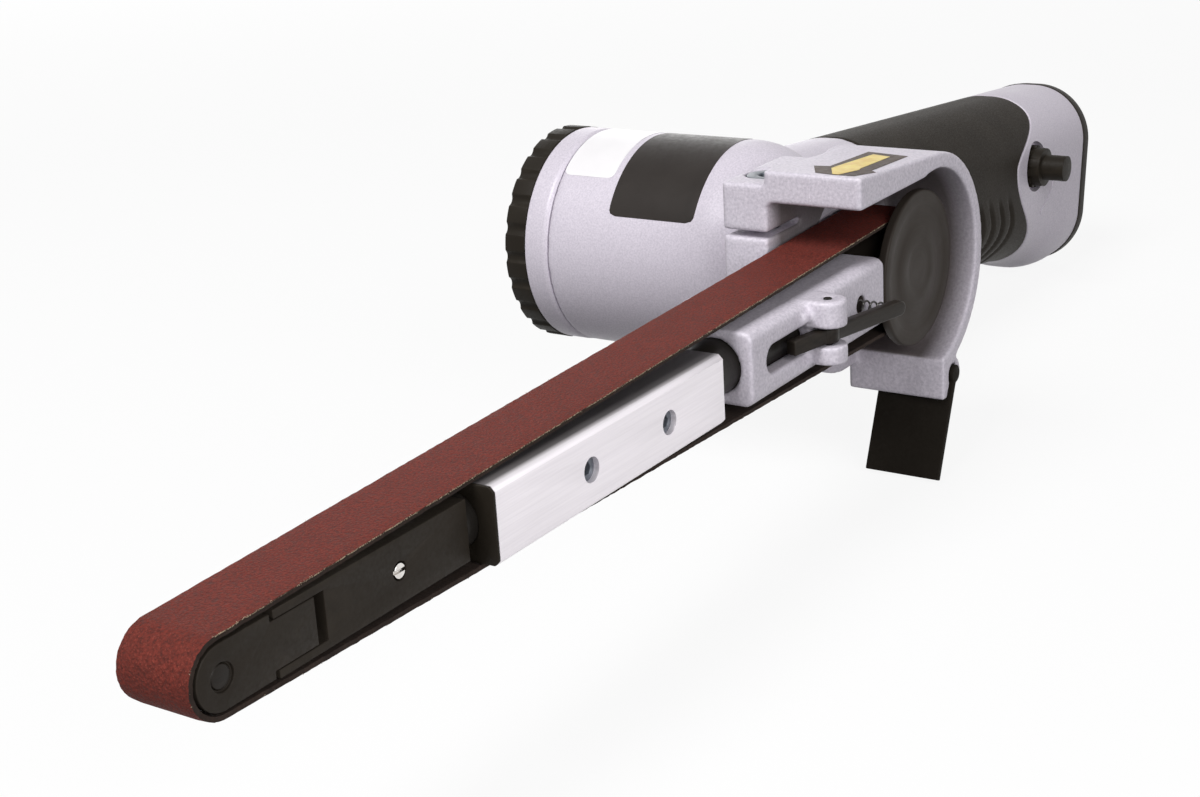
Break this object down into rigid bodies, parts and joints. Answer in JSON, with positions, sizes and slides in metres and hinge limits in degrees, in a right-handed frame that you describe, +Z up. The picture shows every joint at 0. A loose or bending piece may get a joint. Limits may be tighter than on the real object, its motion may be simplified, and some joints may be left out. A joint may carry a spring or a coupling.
{
  "type": "power file",
  "caption": "Air powered belt file: a narrow abrasive belt on a slim sprung arm, a swivelling guard, a transverse vane motor and a rubber-gripped handle with a trigger.",
  "frame": {"origin": "Middle of the tool's bounding box in plan, at the level of its lowest point, the lower edge of the handle's end cap.", "axes": "+X runs along the belt arm to its nose, +Y is along the drive shaft from the motor to the open side of the guard, +Z is up, away from the trigger."},
  "size_m": [0.3905, 0.0968, 0.0734],
  "materials": {
    "silver_paint": "satin metallic lacquer on a casting",
    "black_rubber": "matt moulded rubber",
    "black_plastic": "moulded, lightly textured",
    "black_steel": "black oxide with a thin oil film",
    "bright_aluminium": "machined and brushed",
    "steel": "ground",
    "dark_steel": "blackened, worn",
    "spring_steel": "bright drawn wire",
    "brass": "turned",
    "bronze": "sintered bush",
    "vane_fibre": "pressed fibre",
    "abrasive": "resin bonded red-brown grain on cloth"
  },
  "bodies": {
    "tool_body": {"motor_housing": "silver_paint", "handle_casing": "silver_paint", "handle_grip": "black_rubber", "end_cap": "black_plastic", "end_cap_screws": "steel", "inlet_bush": "steel", "rear_cover": "silver_paint", "rear_ring": "black_plastic", "cylinder_liner": "steel", "front_plate": "steel", "rear_plate": "steel", "front_bearing": "spring_steel", "rear_bearing": "spring_steel", "trigger_spring": "spring_steel"},
    "trigger": {"trigger": "black_plastic", "throttle_valve": "brass"},
    "regulator": {"regulator_knob": "black_plastic", "regulator_stem": "brass"},
    "rotor": {"rotor": "steel", "rotor_vanes": "vane_fibre", "drive_pulley": "dark_steel"},
    "belt_guard": {"belt_guard": "silver_paint", "clamp_screw": "black_steel", "latch_pin": "steel", "latch_spring": "spring_steel", "tension_spring": "spring_steel", "abrasive_belt": "abrasive"},
    "belt_arm": {"slide_rod": "black_steel", "rod_key": "brass", "platen_bar": "bright_aluminium", "bar_end_cap": "black_plastic", "bar_screws": "steel", "nose_arm": "black_steel", "pivot_pin": "steel", "tracking_spring": "spring_steel"},
    "tracking_screw": {"tracking_screw": "steel"},
    "nose_yoke": {"nose_yoke": "black_steel", "idler_axle": "dark_steel"},
    "idler": {"idler_pulley": "steel", "idler_bush": "bronze"},
    "latch_lever": {"latch_lever": "dark_steel"},
    "deflector_flap": {"deflector_flap": "black_rubber"}
  },
  "joints": [
    {"name": "arm_swivel", "type": "hinge", "parent": "tool_body", "child": "belt_guard", "pos_m": [-0.01218, 0.01831, 0.04675], "axis": [0, 1, 0], "range_deg": [-90, 90]},
    {"name": "drive_spin", "type": "hinge", "parent": "tool_body", "child": "rotor", "pos_m": [-0.01218, 0.03031, 0.04675], "axis": [0, 1, 0], "continuous": true},
    {"name": "idler_spin", "type": "hinge", "parent": "nose_yoke", "child": "idler", "pos_m": [0.18936, 0.03031, 0.04675], "axis": [0, 1, 0], "continuous": true},
    {"name": "tension_slide", "type": "slide", "parent": "belt_guard", "child": "belt_arm", "axis": [-1, 0, 0], "range_m": [0, 0.009], "stiffness_N_per_m": 2000, "springref_m": -0.012, "deforming": ["tension_spring"]},
    {"name": "tracking_tilt", "type": "hinge", "parent": "belt_arm", "child": "nose_yoke", "pos_m": [0.17492, 0.03031, 0.04675], "axis": [0, 0, 1], "range_deg": [-1.5, 1.5], "deforming": ["tracking_spring"]},
    {"name": "tracking_turn", "type": "hinge", "parent": "belt_arm", "child": "tracking_screw", "pos_m": [0.15412, 0.03031, 0.04675], "axis": [0, 1, 0], "range_deg": [-90, 90]},
    {"name": "latch_press", "type": "hinge", "parent": "belt_guard", "child": "latch_lever", "pos_m": [0.03462, 0.04241, 0.04675], "axis": [0, 0, 1], "range_deg": [0, 12], "stiffness_Nm_per_rad": 0.08, "springref_deg": -22.92, "deforming": ["latch_spring"]},
    {"name": "flap_swing", "type": "hinge", "parent": "belt_guard", "child": "deflector_flap", "pos_m": [-0.02128, 0.03031, 0.02155], "axis": [0, 1, 0], "range_deg": [-3, 34], "stiffness_Nm_per_rad": 0.4},
    {"name": "trigger_press", "type": "slide", "parent": "tool_body", "child": "trigger", "axis": [-0.1392, 0, 0.9903], "range_m": [0, 0.0045], "stiffness_N_per_m": 500, "springref_m": -0.008, "deforming": ["trigger_spring"]},
    {"name": "regulator_turn", "type": "hinge", "parent": "tool_body", "child": "regulator", "pos_m": [-0.14953, -0.00569, 0.03603], "axis": [0, 1, 0], "range_deg": [-45, 45]}
  ],
  "couplings": [
    {"joint": "idler_spin", "follows": "drive_spin", "ratio": 2.1376},
    {"joint": "tracking_turn", "follows": "tracking_tilt", "ratio": 60}
  ]
}
